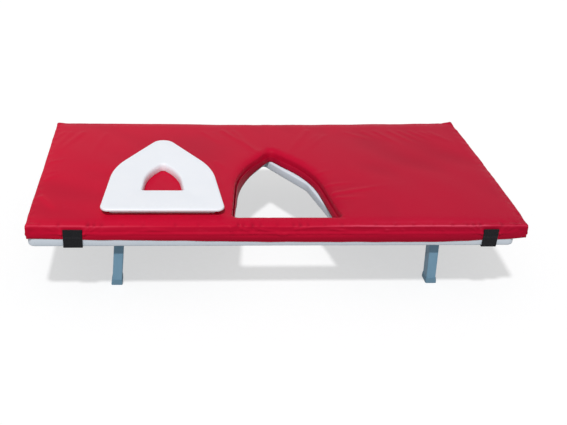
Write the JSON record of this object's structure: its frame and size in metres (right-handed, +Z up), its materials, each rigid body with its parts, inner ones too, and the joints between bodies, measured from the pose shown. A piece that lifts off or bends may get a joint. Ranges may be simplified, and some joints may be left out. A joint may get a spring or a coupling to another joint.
{
  "type": "ultrasound table top",
  "caption": "Low padded table top with a shield-shaped scanning opening, a loose insert plate and folding legs.",
  "frame": {"origin": "on the floor, under the middle of the mat", "axes": "+X along the table's length, to the right as seen from the opening's straight edge; +Y to the back; +Z up"},
  "size_m": [1.245, 0.6172, 0.2406],
  "materials": {
    "board_plastic": "smooth white polyethylene sheet with sawn edges",
    "insert_plastic": "smooth white polyethylene with eased edges",
    "vinyl": "soft red coated vinyl, faint grain and wrinkles",
    "foam": "open-cell foam",
    "painted_steel": "satin steel-blue powder coat",
    "bracket_steel": "satin dark blue powder coat",
    "spring_steel": "bright spring strip",
    "zinc_steel": "bright zinc plate",
    "brass": "turned brass",
    "nylon": "natural nylon",
    "foot_plastic": "moulded grey-blue plastic",
    "webbing": "black hook-and-loop webbing",
    "zip_tape": "dark red zip tape and coil",
    "zip_metal": "cast zinc zip slider"
  },
  "bodies": {
    "board": {"top_board": "board_plastic", "bracket_inserts": "brass", "hinge_bracket_left_front": "bracket_steel", "hinge_bracket_left_rear": "bracket_steel", "hinge_bracket_right_front": "bracket_steel", "hinge_bracket_right_rear": "bracket_steel", "bracket_screws": "zinc_steel", "pivot_bolts": "zinc_steel", "pivot_nuts": "zinc_steel", "spring_catch_left": "spring_steel", "spring_catch_right": "spring_steel", "catch_screws": "zinc_steel", "strap_anchor_left_front": "webbing", "strap_anchor_left_rear": "webbing", "strap_anchor_right_front": "webbing", "strap_anchor_right_rear": "webbing", "strap_bars": "bracket_steel", "strap_screws": "zinc_steel"},
    "left_legs": {"leg_left_front": "painted_steel", "leg_left_rear": "painted_steel", "crossbar_left": "painted_steel", "foot_left_front": "foot_plastic", "foot_left_rear": "foot_plastic", "pivot_bush_left_front": "nylon", "pivot_bush_left_rear": "nylon"},
    "right_legs": {"leg_right_front": "painted_steel", "leg_right_rear": "painted_steel", "crossbar_right": "painted_steel", "foot_right_front": "foot_plastic", "foot_right_rear": "foot_plastic", "pivot_bush_right_front": "nylon", "pivot_bush_right_rear": "nylon"},
    "mat": {"mat_foam": "foam", "mat_cover": "vinyl", "mat_base": "vinyl", "strap_patch_left_front": "webbing", "strap_patch_left_rear": "webbing", "strap_patch_right_front": "webbing", "strap_patch_right_rear": "webbing", "mat_zip": "zip_tape"},
    "zipper": {"zip_pull": "zip_metal"},
    "insert": {"insert_plate": "insert_plastic"},
    "flap_left_front": {"strap_flap_left_front": "webbing"},
    "flap_left_rear": {"strap_flap_left_rear": "webbing"},
    "flap_right_front": {"strap_flap_right_front": "webbing"},
    "flap_right_rear": {"strap_flap_right_rear": "webbing"}
  },
  "joints": [
    {"name": "fold_left_legs", "type": "hinge", "parent": "board", "child": "left_legs", "pos_m": [-0.4035, 0, 0.137], "axis": [0, -1, 0], "range_deg": [0, 93.5], "deforming": ["spring_catch_left"]},
    {"name": "fold_right_legs", "type": "hinge", "parent": "board", "child": "right_legs", "pos_m": [0.4145, 0, 0.137], "axis": [0, 1, 0], "range_deg": [0, 93.5], "deforming": ["spring_catch_right"]},
    {"name": "peel_flap_left_front", "type": "hinge", "parent": "board", "child": "flap_left_front", "pos_m": [-0.5115, -0.3076, 0.1557], "axis": [1, 0, 0], "range_deg": [0, 180]},
    {"name": "peel_flap_left_rear", "type": "hinge", "parent": "board", "child": "flap_left_rear", "pos_m": [-0.5115, 0.3076, 0.1557], "axis": [-1, 0, 0], "range_deg": [0, 180]},
    {"name": "peel_flap_right_front", "type": "hinge", "parent": "board", "child": "flap_right_front", "pos_m": [0.5285, -0.3076, 0.1557], "axis": [1, 0, 0], "range_deg": [0, 180]},
    {"name": "peel_flap_right_rear", "type": "hinge", "parent": "board", "child": "flap_right_rear", "pos_m": [0.5285, 0.3076, 0.1557], "axis": [-1, 0, 0], "range_deg": [0, 180]},
    {"name": "lift_mat", "type": "slide", "parent": "board", "child": "mat", "axis": [0, 0, 1], "range_m": [0, 0.15]},
    {"name": "lift_insert", "type": "slide", "parent": "mat", "child": "insert", "axis": [0, 0, 1], "range_m": [0, 0.15]},
    {"name": "open_zip", "type": "slide", "parent": "mat", "child": "zipper", "axis": [-1, 0, 0], "range_m": [0, 0.84]}
  ]
}
